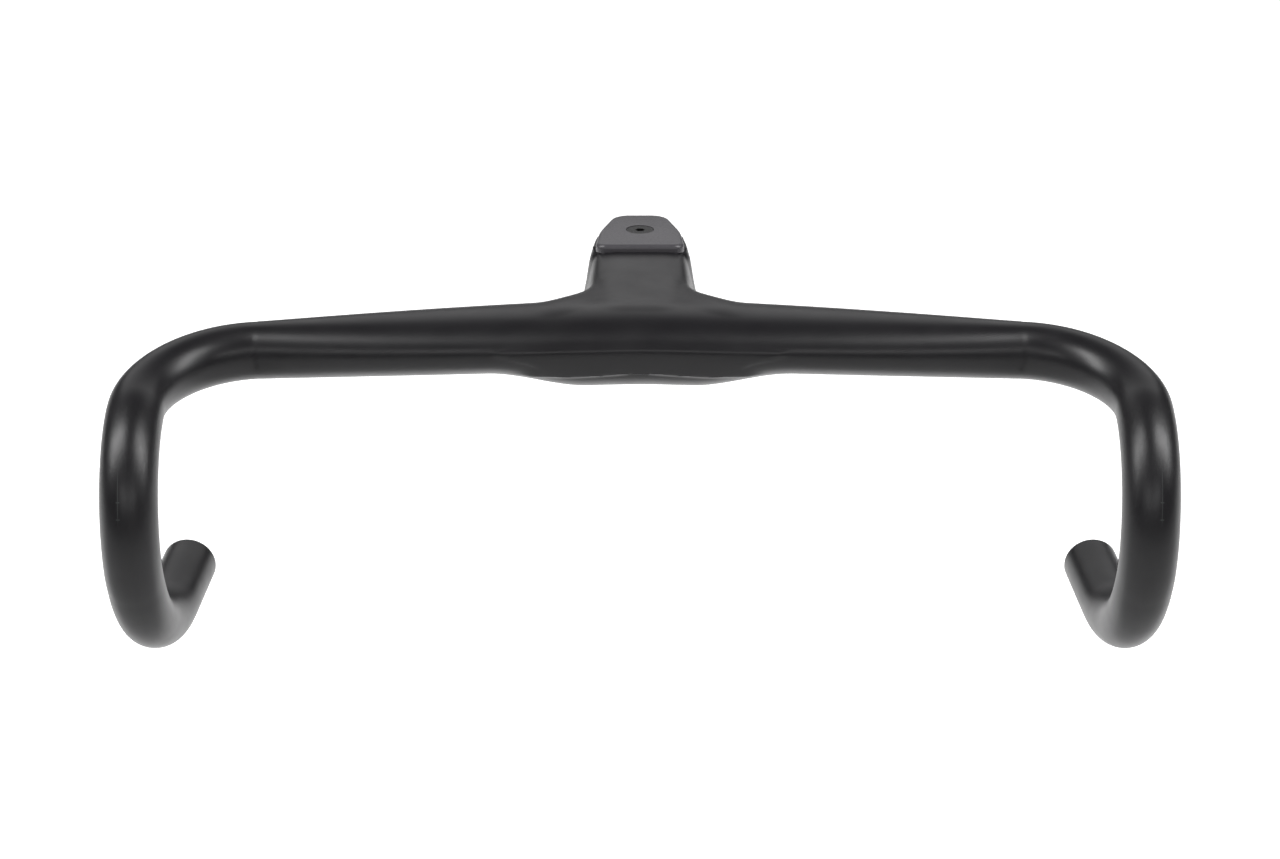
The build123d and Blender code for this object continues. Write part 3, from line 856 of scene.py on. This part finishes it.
# ---------------------------------------------------------------- finishes
@dataclass
class NodeSheet:
    """A short way to write a material's nodes."""

    name: str

    def __post_init__(self) -> None:
        """Start an empty material with a principled shader."""
        self.material = bpy.data.materials.new(self.name)
        self.material.use_nodes = True
        self.nodes = self.material.node_tree.nodes
        self.links = self.material.node_tree.links
        self.shader = next(n for n in self.nodes if n.type == "BSDF_PRINCIPLED")

    def add(self, kind: str, **settings: object) -> bpy.types.Node:
        """Add a node.

        Args:
            kind: the node's type.
            settings: its properties, or its inputs where a name has a capital.

        Returns:
            The new node.
        """
        node = self.nodes.new(kind)
        for name, value in settings.items():
            if name[0].isupper():
                node.inputs[name.replace("_", " ")].default_value = value
            else:
                setattr(node, name, value)
        return node

    def link(self, source: bpy.types.NodeSocket, target: bpy.types.NodeSocket) -> None:
        """Join two sockets."""
        self.links.new(source, target)

    def place(self) -> bpy.types.NodeSocket:
        """The object's own coordinates, in metres."""
        return self.add("ShaderNodeTexCoord").outputs["Object"]

    def noise(self, scale: float, detail: float = 2.0, rough: float = 0.5) -> bpy.types.NodeSocket:
        """Noise over the object's coordinates, as a value from 0 to 1."""
        node = self.add("ShaderNodeTexNoise", Scale=scale, Detail=detail, Roughness=rough)
        self.link(self.place(), node.inputs["Vector"])
        return node.outputs["Fac"]

    def spread(
        self, value: bpy.types.NodeSocket, low: float, high: float, start: float = 0.3, end: float = 0.7
    ) -> bpy.types.NodeSocket:
        """Map a value from one range to another.

        Args:
            value: the value, which is held to its range.
            low: what the range's start becomes.
            high: what the range's end becomes.
            start: the range's start.
            end: the range's end.

        Returns:
            The mapped value.
        """
        node = self.add("ShaderNodeMapRange")
        for name, number in (("From Min", start), ("From Max", end), ("To Min", low), ("To Max", high)):
            node.inputs[name].default_value = number
        self.link(value, node.inputs["Value"])
        return node.outputs["Result"]

    def math(self, operation: str, first: object, second: object = 0.0) -> bpy.types.NodeSocket:
        """Arithmetic on values.

        Args:
            operation: the kind of sum.
            first: a socket or a number.
            second: a socket or a number.

        Returns:
            The result.
        """
        node = self.add("ShaderNodeMath", operation=operation)
        for socket, value in zip(node.inputs, (first, second)):
            if isinstance(value, bpy.types.NodeSocket):
                self.link(value, socket)
            else:
                socket.default_value = value
        return node.outputs[0]

    def tint(
        self, share: bpy.types.NodeSocket, first: bpy.types.NodeSocket | Sequence[float], second: Sequence[float]
    ) -> bpy.types.NodeSocket:
        """Mix two colours.

        Args:
            share: how much of the second colour there is.
            first: a colour or a socket.
            second: a colour.

        Returns:
            The mixed colour.
        """
        node = self.add("ShaderNodeMix", data_type="RGBA")
        if isinstance(first, bpy.types.NodeSocket):
            self.link(first, node.inputs[6])
        else:
            node.inputs[6].default_value = (*first, 1.0)
        node.inputs[7].default_value = (*second, 1.0)
        self.link(share, node.inputs[0])
        return node.outputs[2]

    def bump(self, height: bpy.types.NodeSocket, depth: float, strength: float = 1.0) -> None:
        """Give the shader a bump.

        Args:
            height: the relief, from 0 to 1.
            depth: how deep the relief is, in metres.
            strength: how much of it shows.
        """
        node = self.add("ShaderNodeBump", Strength=strength, Distance=depth)
        self.link(height, node.inputs["Height"])
        self.link(node.outputs["Normal"], self.shader.inputs["Normal"])

    def feed(self, name: str, value: object) -> None:
        """Set or link one of the shader's inputs."""
        if isinstance(value, bpy.types.NodeSocket):
            self.link(value, self.shader.inputs[name])
        else:
            self.shader.inputs[name].default_value = value


@dataclass(frozen=True)
class SatinLacquer:
    """Black lacquer over carbon, with a grained lever seat and a faint lever scale."""

    dark: Colour = (0.0058, 0.0054, 0.0066)
    light: Colour = (0.0102, 0.0095, 0.0115)
    print_grey: Colour = (0.040, 0.043, 0.043)
    rough: tuple[float, float] = (0.34, 0.40)
    relief: float = 0.00012
    grain_relief: float = 0.55
    skin_relief: float = 0.05
    grain_rough: float = 0.06
    grain_starts: float = 249.0
    grain_ends: float = 277.0
    scale_round: float = 2.5
    scale_starts: float = 276.0
    scale_ends: float = 291.0
    tick_places: tuple[float, ...] = (285.0, 290.6)
    line_half: float = 0.14
    tick_half: tuple[float, float] = (0.8, 0.2)

    def make(self) -> bpy.types.Material:
        """Build the material.

        Returns:
            The material.
        """
        sheet = NodeSheet("satin_lacquer")
        along = sheet.add("ShaderNodeAttribute", attribute_name="line_along").outputs["Fac"]
        around = sheet.add("ShaderNodeAttribute", attribute_name="line_round").outputs["Fac"]
        grain = self.grain(sheet, along)
        mark = self.lever_scale(sheet, along, around)
        cloudy = sheet.tint(sheet.noise(18.0, 3.0), self.dark, self.light)
        sheet.feed("Base Color", sheet.tint(mark, cloudy, self.print_grey))
        grit = sheet.noise(1500.0, 3.0, 0.65)
        rough = sheet.spread(sheet.noise(60.0, 3.0), *self.rough)
        uneven = sheet.math("MULTIPLY", sheet.spread(grit, -self.grain_rough, self.grain_rough), grain)
        sheet.feed("Roughness", sheet.math("ADD", rough, uneven))
        skin = sheet.math("MULTIPLY", sheet.noise(420.0, 2.0), self.skin_relief)
        seat = sheet.math("MULTIPLY", grit, sheet.math("MULTIPLY", grain, self.grain_relief))
        sheet.bump(sheet.math("ADD", skin, seat), self.relief)
        return sheet.material

    def grain(self, sheet: NodeSheet, along: bpy.types.NodeSocket) -> bpy.types.NodeSocket:
        """Mask of the grained lever seat, with a slightly uneven border.

        Args:
            sheet: the material's nodes.
            along: how far along the bar's line a place is, in millimetres.

        Returns:
            A value from 0 to 1.
        """
        uneven = sheet.math("ADD", along, sheet.spread(sheet.noise(300.0), -1.2, 1.2))
        begun = sheet.spread(uneven, 0.0, 1.0, self.grain_starts - 1.5, self.grain_starts + 1.5)
        over = sheet.spread(uneven, 1.0, 0.0, self.grain_ends - 3.0, self.grain_ends + 3.0)
        return sheet.math("MULTIPLY", begun, over)

    def lever_scale(
        self, sheet: NodeSheet, along: bpy.types.NodeSocket, around: bpy.types.NodeSocket
    ) -> bpy.types.NodeSocket:
        """Mask of a thin line down the hook's front with small ticks.

        Args:
            sheet: the material's nodes.
            along: how far along the bar's line a place is, in millimetres.
            around: how far round the tube from its front a place is, in millimetres.

        Returns:
            A value from 0 to 1.
        """

        def within(value: bpy.types.NodeSocket, middle: float, reach: float) -> bpy.types.NodeSocket:
            """Where a value lies within reach of a middle value."""
            gap = sheet.math("ABSOLUTE", sheet.math("SUBTRACT", value, middle))
            return sheet.spread(gap, 1.0, 0.0, 0.7 * reach, 1.3 * reach)

        middle = (self.scale_starts + self.scale_ends) / 2
        reach = (self.scale_ends - self.scale_starts) / 2
        stroke = within(around, self.scale_round, self.line_half)
        line = sheet.math("MULTIPLY", stroke, within(along, middle, reach))
        wide, thick = self.tick_half
        for place in self.tick_places:
            tick = sheet.math("MULTIPLY", within(around, self.scale_round, wide), within(along, place, thick))
            line = sheet.math("MAXIMUM", line, tick)
        return line


@dataclass(frozen=True)
class MouldedPlastic:
    """Moulded plastic with a fine spark-eroded texture."""

    name: str
    dark: Colour
    light: Colour
    rough: float
    texture: float

    def make(self) -> bpy.types.Material:
        """Build the material.

        Returns:
            The material.
        """
        sheet = NodeSheet(self.name)
        sheet.feed("Base Color", sheet.tint(sheet.noise(140.0, 4.0), self.dark, self.light))
        sheet.feed("Roughness", sheet.spread(sheet.noise(900.0, 2.0), self.rough - 0.04, self.rough + 0.05))
        sheet.bump(sheet.noise(2600.0, 2.0, 0.6), self.texture)
        return sheet.material


@dataclass(frozen=True)
class Metal:
    """Turned or plated metal with fine tool marks."""

    name: str
    colour: Colour
    rough: float
    metallic: float = 1.0

    def make(self) -> bpy.types.Material:
        """Build the material.

        Returns:
            The material.
        """
        sheet = NodeSheet(self.name)
        worn = tuple(min(1.0, c * 1.35 + 0.01) for c in self.colour)
        wear = sheet.spread(sheet.noise(700.0, 4.0), 0.0, 0.5)
        sheet.feed("Base Color", sheet.tint(wear, self.colour, worn))
        sheet.feed("Metallic", self.metallic)
        sheet.feed("Roughness", sheet.spread(sheet.noise(1500.0, 3.0), self.rough - 0.06, self.rough + 0.08))
        sheet.bump(sheet.noise(3200.0, 2.0), 0.00001)
        return sheet.material


@dataclass(frozen=True)
class PaintedGlowGround:
    """Pale ground with painted light: it glows brightly behind the bar and fades to no glow in front, and this
    glow lights the bar from below.
    """

    painted_glow: float = 0.78
    painted_glow_from: float = -0.10
    painted_glow_full: float = -0.02

    def make(self) -> bpy.types.Material:
        """Build the material.

        Returns:
            The material.
        """
        sheet = NodeSheet("ground_painted_glow")
        pale = sheet.tint(sheet.noise(3.0), (0.78, 0.78, 0.78), (0.82, 0.82, 0.82))
        sheet.feed("Base Color", pale)
        sheet.feed("Roughness", 0.9)
        split = sheet.add("ShaderNodeSeparateXYZ")
        sheet.link(sheet.place(), split.inputs[0])
        depth = split.outputs["Y"]
        # Painted light: the ground's emission glow, full behind the bar and none in front.
        sheet.feed("Emission Color", (1.0, 1.0, 1.0, 1.0))
        sheet.feed("Emission Strength", sheet.spread(depth, 0.0, self.painted_glow, self.painted_glow_from, self.painted_glow_full))
        return sheet.material


def dress(piece: bpy.types.Object, material: bpy.types.Material) -> None:
    """Give the piece one material."""
    piece.data.materials.clear()
    piece.data.materials.append(material)


def dress_node(node: str, material: bpy.types.Material) -> None:
    """Give a CAD node's object one material, without touching its mesh.

    Args:
        node: the node's name.
        material: the material.
    """
    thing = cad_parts[node]
    for holder in thing.material_slots:
        holder.link = "OBJECT"
        holder.material = material


# ---------------------------------------------------------------- sub-assemblies
@dataclass
class BarMoulding:
    """The one-piece moulding: tops, hooks, stem and clamp block."""

    shape: Moulding = field(default_factory=Moulding)
    tube_bore: float = 10.0
    bore_depth: float = 38.0
    recess: float = 1.0
    recess_gap: float = 0.3
    slot_half: float = 1.0
    screw_y: float = 20.5
    screw_heights: tuple[float, float] = (8.0, 27.0)
    head_pocket: float = 4.6
    nut_pocket: float = 4.3
    pocket_floor: float = 6.5
    pocket_reach: float = 40.0
    hose_way: tuple[Place, Place] = ((-10.0, -31.0, -2.0), (10.0, -20.0, 26.0))
    mount_spacing: float = 26.0
    mount_bore: float = 3.05
    mount_depth: float = 9.5
    cover_gap: float = 0.3
    cover_corner: float = 4.3
    cover_seat: float = 3.05
    port_radius: float = 4.5
    port_reach: float = 18.0
    clear: float = 2.0
    hook_middle: Place = (210.0, -118.0, -40.0)
    mesh_low: Place = (-228.0, -215.0, -116.0)
    mesh_high: Place = (228.0, 33.0, 42.0)
    step: float = 1.25
    quick_step: float = 2.0
    finish: SatinLacquer = SatinLacquer()

    def build(self) -> bpy.types.Object:
        """Mesh the skin, cut the openings and dress it.

        Returns:
            The finished piece.
        """
        step = self.step
        points, faces = SkinMesher(self.shape.distance, self.mesh_low, self.mesh_high, step).build()
        piece = mesh_object("bar_moulding", points, faces)
        LOG.info("bar_moulding: %d faces before cutting", len(faces))
        cutter = Cutter()
        self.cut_ends(cutter)
        self.cut_clamp(cutter)
        self.cut_underside(cutter)
        self.cut_hose_ports(cutter)
        cutter.cut(piece)
        smooth_shade(piece)
        self.mark_line(piece)
        dress(piece, self.finish.make())
        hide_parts("stem_and_tops", "left_hook", "right_hook")
        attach(piece, "bar")
        return piece

    def mark_line(self, piece: bpy.types.Object) -> None:
        """Store how far along the bar's line, and round the hook from its front, each vertex is.

        Args:
            piece: the moulding.
        """
        mesh = piece.data
        flat = np.empty(3 * len(mesh.vertices))
        mesh.vertices.foreach_get("co", flat)
        points = flat.reshape(-1, 3) / MM
        points[:, 0] = np.abs(points[:, 0])
        spot, along, _ = self.shape.line.nearest(points)
        offset = points - spot
        outward = ((spot - np.array(self.hook_middle)) * offset)[:, 1:].sum(1)
        front = np.hypot(offset[:, 1], offset[:, 2]) * np.sign(outward)
        around = self.shape.tube * np.arctan2(offset[:, 0], front)
        for name, values in (("line_along", along), ("line_round", around)):
            mesh.attributes.new(name, "FLOAT", "POINT").data.foreach_set("value", values.astype(np.float32))

    def cut_ends(self, cutter: Cutter) -> None:
        """Square the drops' ends off and open their bores.

        Args:
            cutter: takes the tools.
        """
        end = self.shape.line.corners()[-1]
        out = self.shape.line.end_direction()
        for side in Side:
            flip = np.array([side.value, 1.0, 1.0])
            face, away = end * flip, out * flip
            past = self.shape.line.overrun + 2 * self.shape.tube
            cutter.rod(self.shape.tube + 2 * self.clear, face, face + away * past)
            cutter.rod(self.tube_bore, face - away * self.bore_depth, face + away * self.clear)

    def cut_clamp(self, cutter: Cutter) -> None:
        """Take out the steerer's hole, the slot, the screw pockets and the cap's recess.

        Args:
            cutter: takes the tools.
        """
        shape = self.shape
        over, under = shape.stack + self.clear, -self.clear
        cutter.prism(shape.cap_outline(self.recess_gap), shape.stack - self.recess, shape.stack + 5)
        cutter.rod(shape.steerer, (0, 0, under), (0, 0, over), 128)
        cutter.block((-self.slot_half, shape.steerer - 3, under), (self.slot_half, self.screw_y + 14, over))
        for height in self.screw_heights:
            for way, radius in ((1, self.head_pocket), (-1, self.nut_pocket)):
                floor, mouth = way * self.pocket_floor, way * self.pocket_reach
                cutter.rod(radius, (floor, self.screw_y, height), (mouth, self.screw_y, height))

    def cut_underside(self, cutter: Cutter) -> None:
        """Take out the hose way, the mount's insert holes and the cover's seat.

        Args:
            cutter: takes the tools.
        """
        front = -self.shape.line.stem_length + self.shape.setback
        cutter.block(*self.hose_way)
        for x in (-self.mount_spacing / 2, self.mount_spacing / 2):
            cutter.rod(self.mount_bore, (x, front, 0), (x, front, self.mount_depth))
        low, high = (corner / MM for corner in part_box("hose_cover"))
        gap = self.cover_gap
        left, right, fore, rear = low.x - gap, high.x + gap, low.y - gap, high.y + gap
        seat = [(left, fore), (left, rear), (right, rear), (right, fore)]
        cutter.prism(arc_outline(seat, (self.cover_corner,) * 4), -6, self.cover_seat)

    def cut_hose_ports(self, cutter: Cutter) -> None:
        """Take out the hooks' hose ports, where the grommets sit.

        Args:
            cutter: takes the tools.
        """
        for side, node in ((Side.LEFT, "left_hose_grommet"), (Side.RIGHT, "right_hose_grommet")):
            low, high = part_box(node)
            flip = np.array([side.value, 1, 1])
            folded = np.array((low + high) / 2) / MM * flip
            spot = self.shape.line.nearest(folded[None])[0][0]
            out = (folded - spot) / np.linalg.norm(folded - spot)
            cutter.rod(self.port_radius, spot * flip, (spot + out * self.port_reach) * flip)


@dataclass
class TopCap:
    """The cap over the steerer, with its seat for the preload screw."""

    shape: Moulding = field(default_factory=Moulding)
    low: float = 35.05
    high: float = 39.0
    edge: float = 2.0
    edge_steps: int = 6
    arc_steps: int = 14
    head_seat: float = 6.5
    seat_depth: float = 0.8
    bore: float = 6.25
    bore_sides: int = 96
    sharp_angle: float = 30.0
    finish: MouldedPlastic = MouldedPlastic(
        "cap_plastic", (0.060, 0.057, 0.064), (0.072, 0.069, 0.076), 0.34, 0.00003
    )

    def build(self) -> bpy.types.Object:
        """Build and dress the cap.

        Returns:
            The finished piece.
        """
        shape = stood_up(self.shape.cap_outline(0.0, self.arc_steps), self.low, self.high)
        rim = [edge for edge in shape.edges if all(v.co.z > self.high - 0.01 for v in edge.verts)]
        rounding = {"offset": self.edge, "segments": self.edge_steps, "profile": 0.5, "affect": "EDGES"}
        bmesh.ops.bevel(shape, geom=rim, **rounding)
        piece = finished_object("cap_moulding", shape)
        cutter = Cutter()
        seat = (0, 0, self.high - self.seat_depth)
        cutter.rod(self.head_seat, seat, (0, 0, self.high + 2), self.bore_sides)
        cutter.rod(self.bore, (0, 0, self.low - 1), (0, 0, self.high), self.bore_sides)
        cutter.cut(piece)
        smooth_shade(piece, self.sharp_angle)
        dress(piece, self.finish.make())
        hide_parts("top_cap")
        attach(piece, "top_cap")
        return piece


@dataclass
class Hardware:
    """Screws, washers, nuts, inserts, grommets and the hose cover, dressed where they are."""

    bright: Metal = Metal("zinc_steel", (0.55, 0.56, 0.58), 0.3)
    black: Metal = Metal("black_steel", (0.016, 0.016, 0.017), 0.38, 0.6)
    brass: Metal = Metal("brass_insert", (0.62, 0.44, 0.18), 0.3)
    rubber: MouldedPlastic = MouldedPlastic(
        "grommet_rubber", (0.010, 0.010, 0.010), (0.016, 0.016, 0.016), 0.62, 0.00005
    )
    cover: MouldedPlastic = MouldedPlastic(
        "cover_plastic", (0.016, 0.016, 0.017), (0.022, 0.022, 0.023), 0.5, 0.00005
    )

    def build(self) -> dict[str, str]:
        """Dress every remaining CAD node.

        Returns:
            Each node's name and its material's name.
        """
        finishes = (self.bright, self.black, self.brass, self.rubber, self.cover)
        made = {finish.name: finish.make() for finish in finishes}
        rules = {
            "hose_cover_screw": self.black.name,
            "hose_cover_insert": self.brass.name,
            "mount_insert": self.brass.name,
            "preload_screw": self.black.name,
            "clamp_": self.bright.name,
            "grommet": self.rubber.name,
            "hose_cover": self.cover.name,
        }
        dressed = {}
        for node in sorted(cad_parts):
            match = next((name for key, name in rules.items() if key in node), None)
            if match:
                dress_node(node, made[match])
                dressed[node] = match
        return dressed


@dataclass
class Studio:
    """Ground, soft lights and the camera, in metres, degrees and watts."""

    bar_centre: Place = (0.0, -0.100, 0.022)
    distance: float = 1.25654
    elevation: float = 19.6
    pitch: float = 21.432
    lens: float = 81.68
    ground: float = -0.30
    ground_half: float = 8.0
    room: float = 0.04
    side_spot: Place = (1.2, -0.35, 1.3)
    side_size: tuple[float, float] = (0.6, 1.5)
    side_power: float = 26.0
    side_turn: float = 20.0
    front_spot: Place = (0.5, -1.65, 0.7)
    front_size: tuple[float, float] = (0.9, 0.22)
    front_power: float = 2.6
    back_spot: Place = (0.0, 2.6, 1.5)
    back_size: tuple[float, float] = (4.0, 1.8)
    back_power: float = 17.0
    aim: Place = (0.0, -0.1, 0.0)

    def build(self) -> None:
        """Build the ground, the lights and the camera."""
        scene = bpy.context.scene
        scene.view_settings.view_transform = "Standard"
        world = bpy.data.worlds.new("soft_room")
        world.use_nodes = True
        background = world.node_tree.nodes["Background"]
        background.inputs["Color"].default_value = (1, 1, 1, 1)
        background.inputs["Strength"].default_value = self.room
        scene.world = world
        far = self.ground_half / MM
        corners = [(-far, -far, 0), (far, -far, 0), (far, far, 0), (-far, far, 0)]
        ground = mesh_object("ground", np.array(corners), [(0, 1, 2, 3)])
        ground.location.z = self.ground
        # The ground carries painted light: an emission glow behind the bar.
        dress(ground, PaintedGlowGround().make())
        for side in Side:
            name = side.name.lower()
            lamp = self.light(f"side_{name}", self.side_spot, self.side_size, self.side_power, side)
            lamp.rotation_euler.rotate_axis("Z", side.value * math.radians(self.side_turn))
            self.light(f"front_{name}", self.front_spot, self.front_size, self.front_power, side)
        self.light("back_fill", self.back_spot, self.back_size, self.back_power, Side.LEFT)
        self.camera()

    def light(
        self, name: str, spot: Place, size: tuple[float, float], power: float, side: Side
    ) -> bpy.types.Object:
        """Add a rectangular soft light.

        Args:
            name: the light's name.
            spot: where it stands, on the left side.
            size: its width and height.
            power: its power.
            side: the side that it stands on.

        Returns:
            The light's object.
        """
        lamp = bpy.data.lights.new(name, "AREA")
        lamp.shape, lamp.size, lamp.size_y, lamp.energy = "RECTANGLE", *size, power
        thing = bpy.data.objects.new(name, lamp)
        thing.location = (side.value * spot[0], spot[1], spot[2])
        facing = Vector(self.aim) - Vector(thing.location)
        thing.rotation_euler = facing.to_track_quat("-Z", "Y").to_euler()
        bpy.context.scene.collection.objects.link(thing)
        return thing

    def camera(self) -> None:
        """Add the camera, level across and looking down at the bar."""
        data = bpy.data.cameras.new("camera")
        data.lens, data.sensor_width = self.lens, 36.0
        thing = bpy.data.objects.new("camera", data)
        rise = math.radians(self.elevation)
        back = Vector((0, -math.cos(rise), math.sin(rise))) * self.distance
        thing.location = Vector(self.bar_centre) + back
        thing.rotation_euler = (math.radians(90 - self.pitch), 0, 0)
        bpy.context.scene.collection.objects.link(thing)
        bpy.context.scene.camera = thing


def main() -> None:
    """Build the studio and every piece, and report each one."""
    logging.basicConfig(level=logging.INFO, format="%(name)s: %(message)s")
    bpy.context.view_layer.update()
    Studio().build()
    shape = Moulding()
    for part in (BarMoulding(shape), TopCap(shape)):
        piece = part.build()
        LOG.info("%s: %d faces", piece.name, len(piece.data.polygons))
    for node, finish in Hardware().build().items():
        LOG.info("%s: %s", node, finish)


if __name__ == "__main__":
    main()
